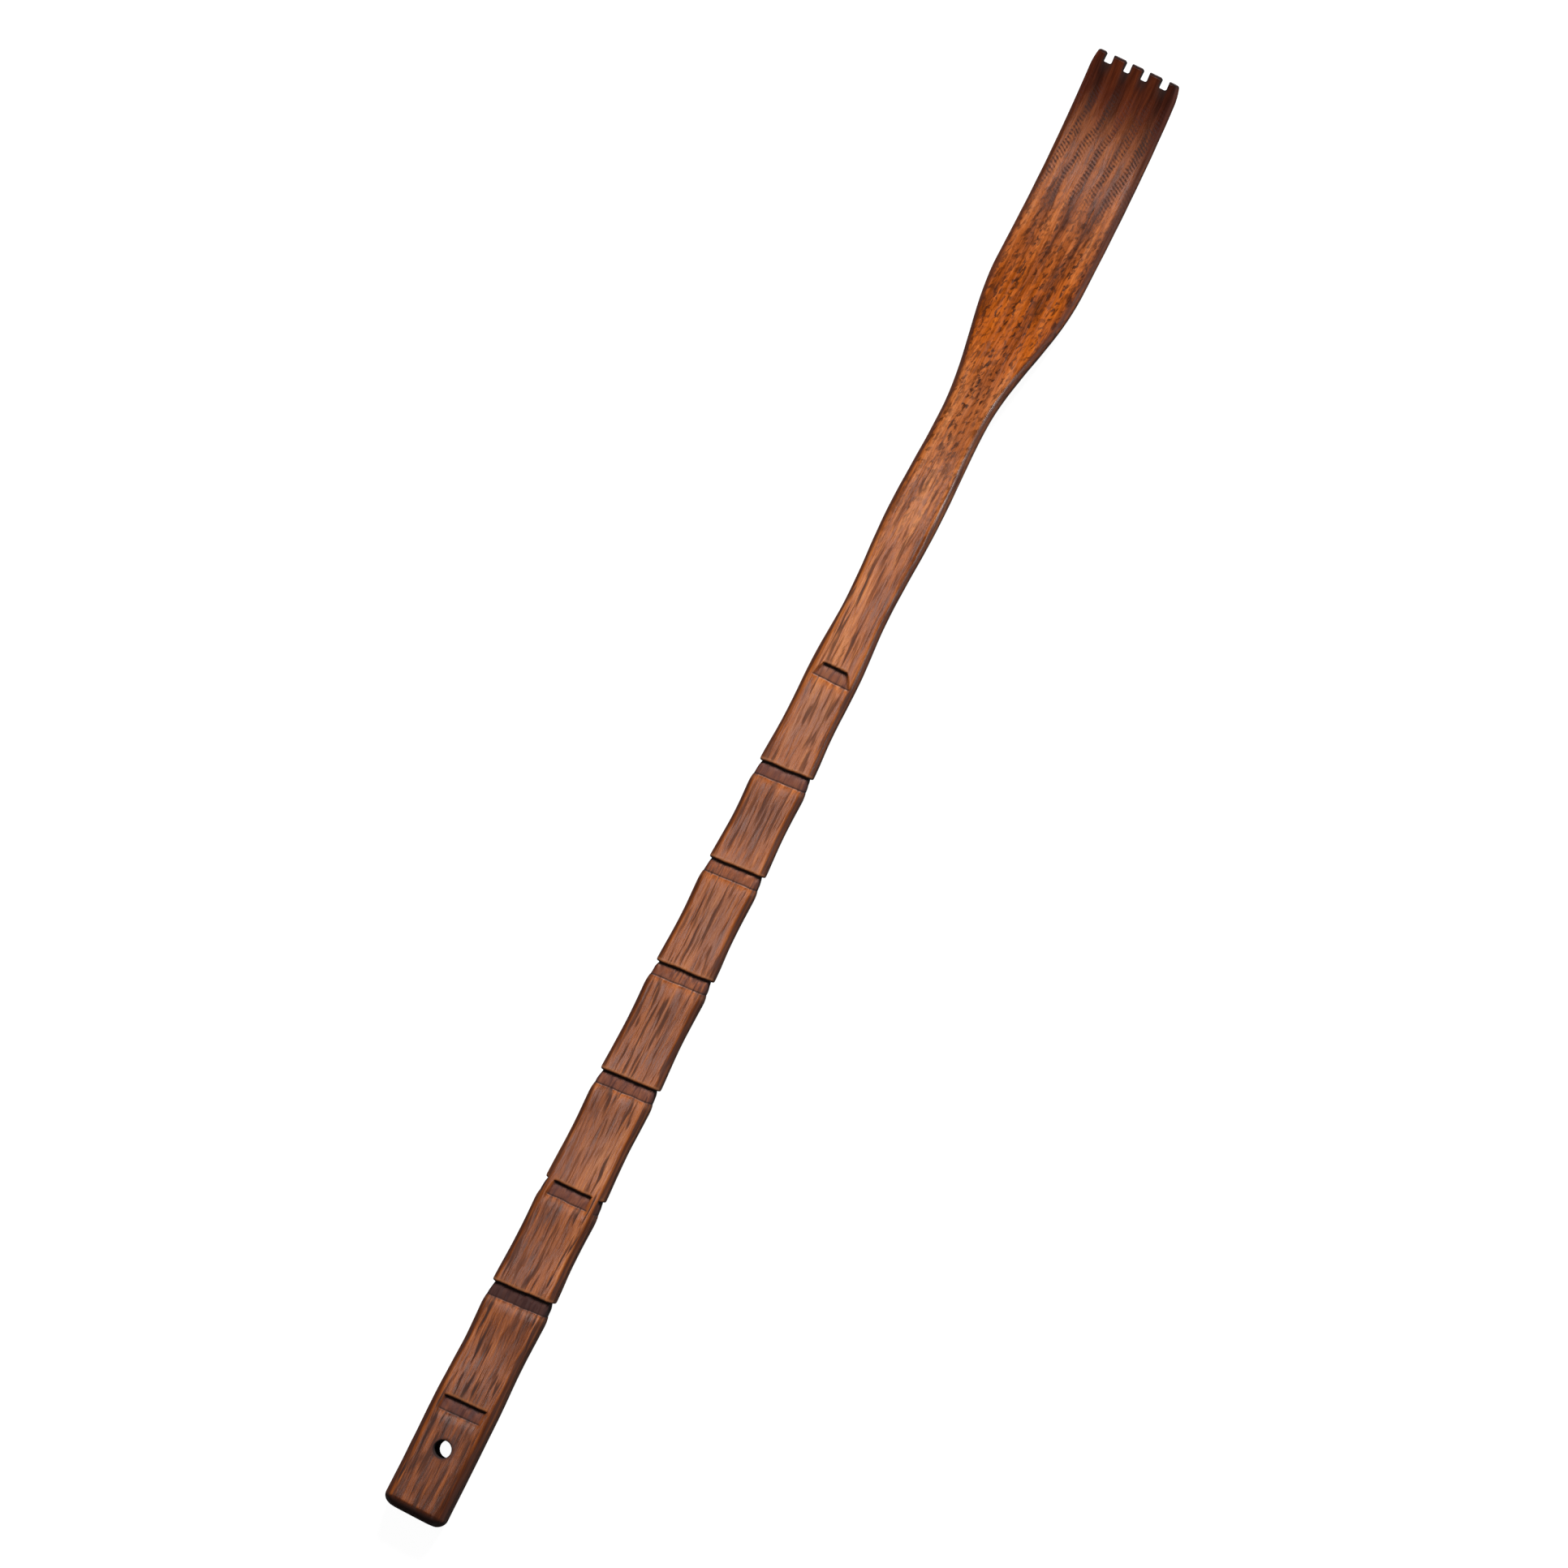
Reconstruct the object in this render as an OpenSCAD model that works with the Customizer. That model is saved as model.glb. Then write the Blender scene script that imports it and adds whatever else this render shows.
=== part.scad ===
// Wooden back scratcher, carved from one stick: a bamboo-like handle with notched nodes,
// a plain neck and a scooped head that ends in short teeth.
// +X runs from the butt to the teeth, +Z leaves the notched front face,
// and the origin is the centre of the hang hole in that face.

/* [Handle] */
// Width at the butt
butt_w = 18.6; // [14:0.1:24]
// Width at the last node
grip_w = 15.0; // [11:0.1:20]
// Thickness of the tab at the butt
butt_t = 10; // [7:0.1:14]
// Thickness at the last node
grip_t = 9; // [6:0.1:12]
// Radius that the long edges are rounded to
edge_r = 2.8; // [1:0.1:3]
// Radius of the two corners of the butt, seen from the front
butt_corner_r = 3; // [1:0.1:5]
// Radius of the butt's front and back edges
butt_edge_r = 2.4; // [0.5:0.1:3]

/* [Hang hole] */
// Diameter of the hang hole
hole_d = 5; // [3:0.1:7]
// Distance of the hang hole from the end of the butt
hole_from_butt = 20.6; // [12:0.1:24]

/* [Nodes] */
// Number of carved nodes
node_count = 8; // [3:1:8]
// Distance of the first node from the end of the butt
first_node = 32.8; // [30:0.1:45]
// Mean distance from one node to the next
node_pitch = 32.6; // [24:0.1:45]
// Length of a notch along the stick
notch_len = 4.1; // [2.5:0.1:6]
// Depth of the stop cut on a notch's head side
notch_depth = 0.9; // [0.3:0.05:1.5]
// Depth of the notch floor where it runs out on the butt side
notch_runout = 0.45; // [0.1:0.05:0.8]
// Depth of the waist between two nodes
waist_depth = 0.35; // [0:0.05:0.8]

/* [Neck] */
// Width at the slimmest place, behind the last node
neck_w = 13.1; // [9:0.1:18]
// Distance from the last node to the slimmest place
neck_run = 20.3; // [12:0.1:40]
// Width of the swell in the neck
swell_w = 15.0; // [10:0.1:20]
// Distance from the slimmest place to the swell
swell_run = 29; // [15:0.5:50]
// Width at the throat, where the head begins
throat_w = 13.9; // [10:0.1:20]
// Thickness at the throat
throat_t = 8; // [5:0.1:11]
// Distance from the swell to the throat
throat_run = 28; // [15:0.5:50]

/* [Head] */
// Length of the head from the throat to the tips of the teeth
head_len = 112; // [85:0.5:140]
// Width of the head
head_w = 26.6; // [20:0.1:36]
// Length over which the throat flares out to the full width
flare_len = 48; // [30:0.5:60]
// Thickness of the head at the bottom of the scoop
scoop_t = 5.5; // [4:0.1:8]
// How far the scoop dips below the handle's front face
scoop_depth = 9.6; // [4:0.1:16]
// Distance of the scoop's bottom from the tips of the teeth
scoop_from_tip = 42; // [30:0.5:55]
// Distance behind the throat at which the dip starts
dip_lead = 16; // [8:0.5:24]
// How far the curled tip rises from the bottom of the scoop
curl_rise = 9; // [4:0.1:14]
// Radius that the head's edges are rounded to
head_edge_r = 1.9; // [0.8:0.1:2]

/* [Teeth] */
// Number of teeth
tooth_count = 5; // [3:1:7]
// Depth of the slots between the teeth
slot_depth = 3.1; // [1.5:0.1:6]
// Width of the slots between the teeth
slot_w = 2.4; // [1:0.1:3]
// Thickness at the tips of the teeth
tip_t = 3.4; // [2.8:0.1:5]
// Radius of the two outer corners of the tip, seen from the front
tip_corner_r = 2.5; // [1:0.1:3]
// Radius of the tips' front and back edges
tip_edge_r = 1; // [0.3:0.1:1.1]

/* [Hidden] */
wood_colour = [0.60, 0.36, 0.22];
hole_facets = 64;

// How far each hand-cut node lies from its even place, and how many degrees its right end,
// seen from the front with the head up, leans towards the head
node_drift = [0, 2, 1.2, 2.6, 3.7, 3.3, 1, -0.3];
node_lean = [3, 4.5, 1.7, 4.5, 4.5, 4.5, 4.5, 0];
// Nodes whose corners were left standing, so that the notch is cut in the flats alone
corners_standing = [true, false, true, false, false, false, false, true];

// Stations along the stick, measured from the end of the butt
function node_at(i) = first_node + i * node_pitch + node_drift[i];
last_node = node_at(node_count - 1);
neck_at = last_node + neck_run;
swell_at = neck_at + swell_run;
throat_at = swell_at + throat_run;
shoulder_at = throat_at + flare_len;
tip_at = throat_at + head_len;
scoop_at = tip_at - scoop_from_tip;
dip_at = throat_at - dip_lead;

// Steep walls and spacing of the rings that the stick is lofted through
stop_wall = 0.25;
runout_wall = 0.3;
waist_rings = 3;
neck_step = 6;
head_step = 3.2;
end_rings = 3;
corner_steps = 3;
// Points across each flat, as shares of its half width: the outer pair ends a partial notch
flat_shares = [0.9, 0.45, 0, -0.45, -0.9];
// Largest share of the half width or half thickness that a rounded edge takes up
edge_limit = 0.9;
// How far the cutters reach beyond the wood that they cut
cut_over = 5;

function held(f) = max(0, min(1, f));
function ease(f) = (1 - cos(180 * held(f))) / 2;
function eased(s, from, to) = ease((s - from[0]) / (to[0] - from[0])) * (to[1] - from[1]);
// Value at s of a smooth curve through stations [place, value], level at each of them
function through(s, stations) =
    stations[0][1] + sum([for (i = [1 : len(stations) - 1]) eased(s, stations[i - 1], stations[i])]);
function sum(values, i = 0) = i < len(values) ? values[i] + sum(values, i + 1) : 0;
function sum_points(points, i = 0) = i < len(points) - 1 ? points[i] + sum_points(points, i + 1) : points[i];

// Full width and thickness of the uncut stick
function taper_w(s) = (butt_w - grip_w) * pow(held(s / last_node), 2);
function neck_and_head_w(s) = through(s, [
    [last_node, 0], [neck_at, neck_w - grip_w], [swell_at, swell_w - grip_w],
    [throat_at, throat_w - grip_w], [shoulder_at, head_w - grip_w]]);
function width(s) = butt_w - taper_w(s) + neck_and_head_w(s);
function thickness(s) = through(s, [
    [first_node, butt_t], [last_node, grip_t], [throat_at, throat_t],
    [scoop_at, scoop_t], [tip_at, tip_t]]);
function edge_radius(s) = through(s, [[throat_at, edge_r], [shoulder_at, head_edge_r]]);

// Middle of the thickness: the front stays level, dips into the scoop and curls up to the tip
curl_r = (pow(scoop_from_tip, 2) + pow(curl_rise, 2)) / (2 * curl_rise);
function curl(s) = s < scoop_at ? 0 : curl_r - sqrt(pow(curl_r, 2) - pow(s - scoop_at, 2));
function front_z(s) = curl(s) - scoop_depth * ease((s - dip_at) / (scoop_at - dip_at));
function middle_z(s) = front_z(s) - thickness(s) / 2;
slope_span = 0.5;
function slope(s) = atan((middle_z(s + slope_span) - middle_z(s - slope_span)) / (2 * slope_span));
tip_slope = atan((middle_z(tip_at) - middle_z(tip_at - slope_span)) / slope_span);
function ring_slope(s) = s > tip_at - slope_span ? tip_slope : slope(s);

// How far the surface lies under the uncut stick between the nodes, and in a notch
function waist(s) = sum([for (i = [0 : node_count - 2])
    let (f = (s - node_at(i)) / (node_at(i + 1) - node_at(i)))
    f > 0 && f < 1 ? waist_depth * pow(sin(180 * f), 2) : 0]);
function notch_start(i) = node_at(i) - notch_len / 2;
function notch_end(i) = node_at(i) + notch_len / 2;

// Drop of a quarter round of radius r at distance d from the end that it rounds
function round_drop(d, r) = d >= r ? 0 : r - sqrt(pow(r, 2) - pow(r - d, 2));
function end_drop(s, butt_r, tip_r) = round_drop(s, butt_r) + round_drop(tip_at - s, tip_r);

// Points of a flat, and of a round corner, of the section across the stick
function flat_points(half, r, z, way) = [for (f = flat_shares) [way * f * (half - r), z]];
function corner_points(y, z, r, turn) = [for (k = [0 : corner_steps])
    let (a = turn + 90 * k / corner_steps) [y + r * cos(a), z + r * sin(a)]];
// Section of half width a and half thickness b with corner radius r, anticlockwise from +Y
function section(a, b, r) = concat(
    corner_points(a - r, b - r, r, 0), flat_points(a, r, b, 1),
    corner_points(r - a, b - r, r, 90), [[-a, 0]],
    corner_points(r - a, r - b, r, 180), flat_points(a, r, -b, -1),
    corner_points(a - r, r - b, r, 270), [[a, 0]]);
corner_n = corner_steps + 1;
flat_n = len(flat_shares);
// Which section points a partial notch cuts: those of the flats and the middles of the sides
partial_cut = concat(
    [for (k = [1 : corner_n]) 0], [for (k = [1 : flat_n]) 1], [for (k = [1 : corner_n]) 0], [1],
    [for (k = [1 : corner_n]) 0], [for (k = [1 : flat_n]) 1], [for (k = [1 : corner_n]) 0], [1]);
ring_n = len(partial_cut);

// A ring: [place, notch depth, lean in degrees, whether the corners stay]
function plain(s) = [s, 0, 0, false];
function cut_ring(i, s, depth) = [s, depth, node_lean[i], corners_standing[i]];
function notch_rings(i) = [
    cut_ring(i, notch_start(i) - runout_wall, 0),
    cut_ring(i, notch_start(i), notch_runout),
    cut_ring(i, notch_end(i) - stop_wall, notch_depth),
    cut_ring(i, notch_end(i), 0)];
function span_rings(from, to, n) = [for (k = [1 : n]) plain(from + (to - from) * k / (n + 1))];
function node_gap_rings(i) = span_rings(notch_end(i), notch_start(i + 1), waist_rings);
function steps_in(from, to, step) = max(2, round((to - from) / step));
neck_from = notch_end(node_count - 1);
butt_r_max = max(butt_corner_r, butt_edge_r);
tip_r_max = max(tip_corner_r, tip_edge_r);
head_to = tip_at - tip_r_max;
rings = concat(
    [for (k = [0 : end_rings]) plain(butt_r_max * (1 - cos(90 * k / end_rings)))],
    [for (i = [0 : node_count - 1]) each concat(
        notch_rings(i), i < node_count - 1 ? node_gap_rings(i) : [])],
    span_rings(neck_from, throat_at, steps_in(neck_from, throat_at, neck_step)),
    span_rings(throat_at, head_to, steps_in(throat_at, head_to, head_step)),
    [for (k = [0 : end_rings]) plain(tip_at - tip_r_max * (1 - sin(90 * k / end_rings)))]);

// Points of one ring, turned to stand square to the bent stick
function ring_points(ring) =
    let (s = ring[0],
        half_w = width(s) / 2 - waist(s) - end_drop(s, butt_corner_r, tip_corner_r),
        half_t = thickness(s) / 2 - waist(s) - end_drop(s, butt_edge_r, tip_edge_r),
        r = min(edge_radius(s), edge_limit * half_t, edge_limit * half_w),
        whole = section(half_w, half_t, r),
        cut = section(half_w - ring[1], half_t - ring[1], r - min(ring[1], r / 2)),
        turn = ring_slope(s))
    [for (k = [0 : ring_n - 1])
        let (share = ring[3] ? partial_cut[k] : 1,
            p = whole[k] + (cut[k] - whole[k]) * share)
        [s - hole_from_butt - p[0] * tan(ring[2]) - p[1] * sin(turn), p[0], middle_z(s) + p[1] * cos(turn)]];

// Closed solid through a list of rings, with a fan of triangles at each end
module loft(stack) {
    last = len(stack) - 1;
    outer = [for (ring = stack) each ring_points(ring)];
    first_hub = len(outer);
    last_hub = first_hub + 1;
    hubs = [for (j = [0, last]) sum_points([for (k = [0 : ring_n - 1]) outer[j * ring_n + k]]) / ring_n];
    walls = [for (j = [0 : last - 1], k = [0 : ring_n - 1])
        let (n = (k + 1) % ring_n, a = j * ring_n, b = a + ring_n)
        each [[a + k, b + k, a + n], [a + n, b + k, b + n]]];
    ends = [for (k = [0 : ring_n - 1])
        let (n = (k + 1) % ring_n, b = last * ring_n)
        each [[first_hub, k, n], [last_hub, b + n, b + k]]];
    polyhedron(points = concat(outer, hubs), faces = concat(walls, ends));
}

// Slots between the teeth, square to the curled tip and round at the bottom
tip_w = width(tip_at);
tooth_w = (tip_w - (tooth_count - 1) * slot_w) / tooth_count;
module slot() {
    linear_extrude(height = tip_t + 2 * cut_over, center = true) {
        translate([slot_w / 2, -slot_w / 2]) square([slot_depth + cut_over, slot_w]);
        translate([slot_w / 2, 0]) circle(d = slot_w, $fn = hole_facets);
    }
}
module tooth_slots() {
    translate([tip_at - hole_from_butt, 0, middle_z(tip_at)])
        rotate([0, -tip_slope, 0])
            for (k = [0 : tooth_count - 2])
                translate([-slot_depth, (k - (tooth_count - 2) / 2) * (tooth_w + slot_w), 0]) slot();
}

module hang_hole() {
    translate([0, 0, -butt_t / 2])
        cylinder(d = hole_d, h = butt_t + 2 * cut_over, center = true, $fn = hole_facets);
}

module carved_stick() {
    color(wood_colour) difference() {
        loft(rings);
        hang_hole();
        tooth_slots();
    }
}

carved_stick();
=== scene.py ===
import math
import bpy
import numpy as np
from mathutils import Matrix, Quaternion, Vector


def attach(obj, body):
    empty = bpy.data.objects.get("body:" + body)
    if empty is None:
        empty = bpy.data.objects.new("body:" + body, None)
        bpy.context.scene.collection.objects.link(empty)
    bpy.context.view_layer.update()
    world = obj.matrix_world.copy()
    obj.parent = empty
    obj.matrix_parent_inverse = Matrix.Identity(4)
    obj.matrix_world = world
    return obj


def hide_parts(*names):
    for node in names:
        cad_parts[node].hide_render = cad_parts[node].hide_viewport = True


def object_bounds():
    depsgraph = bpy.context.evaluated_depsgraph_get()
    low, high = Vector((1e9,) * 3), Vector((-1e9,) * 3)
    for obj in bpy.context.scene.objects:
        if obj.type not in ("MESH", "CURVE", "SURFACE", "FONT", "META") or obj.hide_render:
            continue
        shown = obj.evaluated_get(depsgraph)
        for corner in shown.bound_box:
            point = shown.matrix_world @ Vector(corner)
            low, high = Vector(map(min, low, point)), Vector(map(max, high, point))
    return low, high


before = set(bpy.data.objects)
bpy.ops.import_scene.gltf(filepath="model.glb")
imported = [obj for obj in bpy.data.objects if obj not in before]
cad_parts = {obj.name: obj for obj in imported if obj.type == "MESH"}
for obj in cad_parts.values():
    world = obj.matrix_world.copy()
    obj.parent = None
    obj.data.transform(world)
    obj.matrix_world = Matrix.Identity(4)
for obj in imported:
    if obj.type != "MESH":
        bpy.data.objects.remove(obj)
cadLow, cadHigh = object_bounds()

mm = 0.001
scene = bpy.context.scene
scene.view_settings.view_transform = "Standard"

# main measures in mm; places along the stick count from the butt
stick = {
    "buttWidth": 18.75,
    "gripWidth": 15.2,      # at the last node
    "neckWidth": 13.35,
    "swellWidth": 15.3,
    "throatWidth": 14.0,
    "headWidth": 26.6,
    "buttThick": 10.0,
    "gripThick": 9.0,
    "throatThick": 8.0,
    "scoopThick": 5.5,
    "tipThick": 3.4,
    "neckRun": 20.3,        # last node to the narrowest place of the neck
    "swellRun": 29.0,       # from there to the swell
    "throatRun": 29.2,      # and from the swell to the throat
    "headLength": 110.04,
    "flareLength": 46.6,
    "scoopDepth": 9.6,
    "scoopFromTip": 42.0,
    "dipLead": 17.2,        # the head starts to dip this far before the throat
    "curlRise": 9.0,
    "waistDepth": 0.35,     # each segment is slimmer halfway between its nodes
    "buttCornerRadius": 3.0,
    "buttEdgeRadius": 3.2,
    "tipCornerRadius": 0.5,
    "tipEdgeRadius": 0.5,
    "tipTaper": 0.9,        # the two outer teeth slant in by this much
    "tipTaperRun": 5.6,
    "trimRun": 6.0,         # the sections turn upright over this run, so that the teeth end square
}

# radii of the long corners in mm; the back is rounder than the front
corners = {
    "butt": 2.8,
    "midway": 1.6,          # halfway between two nodes
    "throat": 2.6,
    "head": 1.3,
    "buttBack": 3.0,
    "gripBack": 4.8,
    "neckBack": 6.2,
    "headBack": 3.8,
    "stretch": 1.1,         # corners are rounder across the face than down the side
    "headBackStretch": 1.6,
    "stretchRun": 20.0,     # that begins this far before the throat and fades over this run at the tip
    "widthShare": 0.9,      # most of the half width or half thickness that one corner may take
    "thickShare": 1.92,     # and most of the half thickness for a front and a back corner together
}

# the mesh: steps in mm, counts of points
spacing = {
    "plainStep": 0.8,       # rings away from the nodes
    "nodeClear": 5.4,       # no plain ring this close to a node
    "tipStep": 0.3,         # rings over the last part of the teeth
    "tipRun": 6.0,
    "leastStep": 0.035,
    "endRings": 12,         # closer rings where the two ends round over
    "flatPoints": 37,
    "cornerPoints": 9,
    "sidePoints": 8,
    "capShares": (0.8, 0.5, 0.2),
    "sharpAngle": 42.0,     # degrees; edges that turn more than this stay crisp
}

# nodes from the butt: place in mm, lean in degrees, corner radius in mm, how dark the cut is (above 1 it is
# inked), and its left and right ends in mm at the lower and the upper side (None: it runs all round);
# nick is the share of the depth that a cut with ends still has in the two sides
notches = [
    {"at": 32.8, "lean": 3.0, "corner": 2.1, "stain": 0.9, "nick": 0.0, "ends": ((6.3, -6.1), (6.1, -6.3))},
    {"at": 67.4, "lean": 4.5, "corner": 1.5, "stain": 1.2, "ends": None},
    {"at": 99.2, "lean": 1.7, "corner": 1.9, "stain": 0.9, "nick": 0.8, "ends": ((6.3, -6.0), (5.7, -5.4))},
    {"at": 133.2, "lean": 4.5, "corner": 1.4, "stain": 0.85, "ends": None},
    {"at": 166.9, "lean": 4.5, "corner": 1.4, "stain": 0.55, "ends": None},
    {"at": 199.1, "lean": 4.5, "corner": 1.4, "stain": 0.55, "ends": None},
    {"at": 229.4, "lean": 4.5, "corner": 1.4, "stain": 0.95, "ends": None},
    {"at": 260.7, "lean": 0.0, "corner": 2.0, "stain": 0.85, "nick": 0.0, "ends": ((5.2, -6.0), (3.6, -3.4))},
]

# depth of a cut in mm against the distance from its middle: run-out at the butt side, stop at the head side
notchProfile = [
    (-5.2, 0.0), (-4.6, 0.015), (-4.0, 0.05), (-3.5, 0.1), (-3.0, 0.17), (-2.65, 0.23), (-2.4, 0.28),
    (-2.24, 0.33), (-2.12, 0.39), (-2.03, 0.43), (-1.94, 0.44), (-1.82, 0.43), (-1.6, 0.44), (-1.2, 0.46),
    (-0.7, 0.5), (-0.1, 0.56), (0.45, 0.64), (0.9, 0.73), (1.25, 0.81), (1.52, 0.88), (1.72, 0.94),
    (1.84, 0.97), (1.91, 0.92), (1.97, 0.74), (2.01, 0.54), (2.06, 0.37), (2.12, 0.25), (2.2, 0.16),
    (2.32, 0.09), (2.5, 0.04), (2.75, 0.015), (3.2, 0.0), (5.2, 0.0),
]

# how a node is cut, the dirt that gathers in it and the painted shade and shadow in it; distances in mm from
# the middle of the cut, towards the head
cutting = {
    "half": 2.05,                   # half the length of a cut
    "leanFade": (5.2, 8.5),         # a node's lean fades out from here, over this run
    "lipFade": (2.2, 3.0),          # and so does the waver of its two lips
    "lipBlend": 1.2,                # one lip's waver gives way to the other's between minus and plus this
    "lipWaver": 0.09,
    "endSoft": 0.7,
    "faceFrom": 0.3,                # squared upward share of the surface that counts as face
    "sideFrom": (0.6, 0.5),         # outward share that counts as side, and its softness
    "floorWaver": 0.1,
    "stainEnds": ((2.15, 0.6), (2.02, 0.12)),   # reach and softness at the run-out and at the stop
    "dirt": 0.8,
    # painted shade, deepest at the stop and at the two sides of the cut
    "shadeAtStop": 0.2,
    "shadeRun": (1.2, 3.0, 1.5),     # painted shade that grows towards the stop: start before the middle, run, power
    "shadeAtSides": 0.3,
    "stopShadowLine": (1.8, 0.34),        # place and width of the painted shadow line under the stop
    "runLine": (-1.98, 0.26),       # and of the dark line where the run-out starts
    "runStrength": 0.8,
    "inkRate": 2.5,
    "upperWear": (2.6, 0.45),       # place and width of the rubbed lips
    "lowerWear": (-3.2, 0.4),
    "lowerShare": 0.3,
}

# uneven carving by hand, in mm
carving = {
    "wander": 0.13,         # each side wanders a little by itself
    "sideSpread": 9.0,
    "headShare": 0.35,      # how much of that is left on the head
    "headRun": 60.0,
    "facets": 0.035,        # shallow knife facets
    "facetSpread": 3.0,
    "endFade": 6.0,
    "crown": 0.2,           # front and back are a little fuller in the middle
}

# seeded waves: seed, shortest and longest wave in mm along and across, number of waves
unevenness = {
    "wander": (11, (34, 70), (30, 60), 5),
    "facets": (23, (7, 16), (5, 12), 7),
    "cutFloor": (40, (2.2, 5.0), (1.6, 5.0), 5),
    "upperLip": (60, (5, 12), (9, 18), 4),
    "lowerLip": (80, (4, 10), (9, 18), 4),
}

# a fine drying crack that runs up from the last node, in mm
crack = {
    "start": 262.9,
    "end": 271.0,
    "across": 0.3,
    "width": 0.17,
    "depth": 0.08,
    "sway": 0.2,
    "swayRate": 1.9,
    "startSoft": 0.6,
    "endRun": 3.0,
    "ink": 0.85,
}

# painted shade on the corners, sides and ends over some darker lacquer, and the painted sheen tint in the
# middle of each segment
shading = {
    "outerFrom": 0.78,      # painted shade on the corners starts at this share of the half width
    "outerRun": 0.2,
    "outerLeft": 0.5,
    "outerRight": 0.85,
    "ends": 0.9,
    "buttFade": (1.6, 2.2),     # mm from the butt where the painted shade of the end starts to fade, and its run
    "tipFade": (0.1, 0.7),
    "sheenTintRun": 0.4,      # share of a segment over which the painted sheen tint of the middle comes in
}


def clamp01(f):
    return np.clip(f, 0.0, 1.0)


def ease(f):
    return (1.0 - np.cos(np.pi * clamp01(f))) / 2.0


def fadeOut(distance, start, run):
    return 1.0 - ease((distance - start) / run)


def softStep(x, width):
    f = clamp01(x / width + 0.5)
    return f * f * (3 - 2 * f)


def bell(x, middle, width):
    return np.exp(-((x - middle) / width) ** 2)


def through(s, stations):
    # eases from the value at each station to the next one's
    total = np.full_like(s, stations[0][1], dtype=float)
    for (startAt, startValue), (endAt, endValue) in zip(stations, stations[1:]):
        total += (endValue - startValue) * ease((s - startAt) / (endAt - startAt))
    return total


def waves(kind, rows, cols, index=0):
    # smooth unevenness along the stick and across it, about -1 to 1
    seed, alongRange, acrossRange, count = unevenness[kind]
    rng = np.random.default_rng(seed + index)
    total = np.zeros(np.broadcast(rows, cols).shape)
    for k in range(count):
        alongLength = rng.uniform(*alongRange)
        acrossLength = rng.uniform(*acrossRange)
        phase = rng.uniform(0, 2 * math.pi)
        turn = rng.choice([-1.0, 1.0])
        total += np.sin(2 * math.pi * (rows / alongLength + turn * cols / acrossLength) + phase)
    return total / math.sqrt(count) / 1.6


buttX = cadLow.x / mm
firstNode = notches[0]["at"]
lastNode = notches[-1]["at"]
neckAt = lastNode + stick["neckRun"]
swellAt = neckAt + stick["swellRun"]
throatAt = swellAt + stick["throatRun"]
shoulderAt = throatAt + stick["flareLength"]
tipAt = throatAt + stick["headLength"]
scoopAt = tipAt - stick["scoopFromTip"]
dipAt = throatAt - stick["dipLead"]
curlRadius = (stick["scoopFromTip"] ** 2 + stick["curlRise"] ** 2) / (2 * stick["curlRise"])


def widthAt(s):
    grip = stick["gripWidth"]
    handle = stick["buttWidth"] - (stick["buttWidth"] - grip) * clamp01(s / lastNode) ** 2
    return handle + through(s, [(lastNode, 0.0), (neckAt, stick["neckWidth"] - grip),
                                (swellAt, stick["swellWidth"] - grip),
                                (throatAt, stick["throatWidth"] - grip),
                                (shoulderAt, stick["headWidth"] - grip)])


def thickAt(s):
    return through(s, [(firstNode, stick["buttThick"]), (lastNode, stick["gripThick"]),
                       (throatAt, stick["throatThick"]), (scoopAt, stick["scoopThick"]),
                       (tipAt, stick["tipThick"])])


def frontRadiusAt(s):
    stations = [(0.0, corners["butt"])]
    for lower, upper in zip(notches, notches[1:]):
        stations.append((lower["at"], lower["corner"]))
        stations.append(((lower["at"] + upper["at"]) / 2.0, corners["midway"]))
    stations.append((lastNode, notches[-1]["corner"]))
    stations.append((neckAt, corners["midway"]))
    stations.append((throatAt, corners["throat"]))
    stations.append((shoulderAt, corners["head"]))
    return through(s, stations)


def backRadiusAt(s):
    # the grip's full roundness lies between the fourth node and the seventh
    return through(s, [(firstNode, corners["buttBack"]), (notches[3]["at"], corners["gripBack"]),
                       (notches[6]["at"], corners["gripBack"]), (neckAt, corners["neckBack"]),
                       (throatAt, corners["gripBack"]), (shoulderAt, corners["headBack"])])


def backStretchAt(s):
    run = corners["stretchRun"]
    return through(s, [(throatAt - run, corners["stretch"]), (shoulderAt, corners["headBackStretch"]),
                       (tipAt - run, corners["headBackStretch"]), (tipAt, corners["stretch"])])


def frontAt(s):
    past = np.maximum(s - scoopAt, 0.0)
    curl = curlRadius - np.sqrt(curlRadius ** 2 - past ** 2)
    return curl - stick["scoopDepth"] * ease((s - dipAt) / (scoopAt - dipAt))


def middleAt(s):
    return frontAt(s) - thickAt(s) / 2.0


def slopeAt(s):
    # measured over 1 mm
    return np.arctan(middleAt(s + 0.5) - middleAt(s - 0.5))


def roundDrop(distance, radius):
    inside = np.clip(radius - distance, 0.0, radius)
    return radius - np.sqrt(radius ** 2 - inside ** 2)


def segmentShares(s):
    # for each segment of the handle, the share of the way from its lower node to its upper one
    return [(s - lower["at"]) / (upper["at"] - lower["at"]) for lower, upper in zip(notches, notches[1:])]


def waistAt(s):
    total = np.zeros_like(s)
    for share in segmentShares(s):
        total += np.sin(np.pi * clamp01(share)) ** 2
    return stick["waistDepth"] * total


def sheenTintAt(s):
    # painted sheen: the middle of each segment is tinted cooler and darker than its two ends
    total = np.zeros_like(s)
    for share in segmentShares(s):
        total += ease((0.5 - np.abs(share - 0.5)) / shading["sheenTintRun"])
    return total


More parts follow.
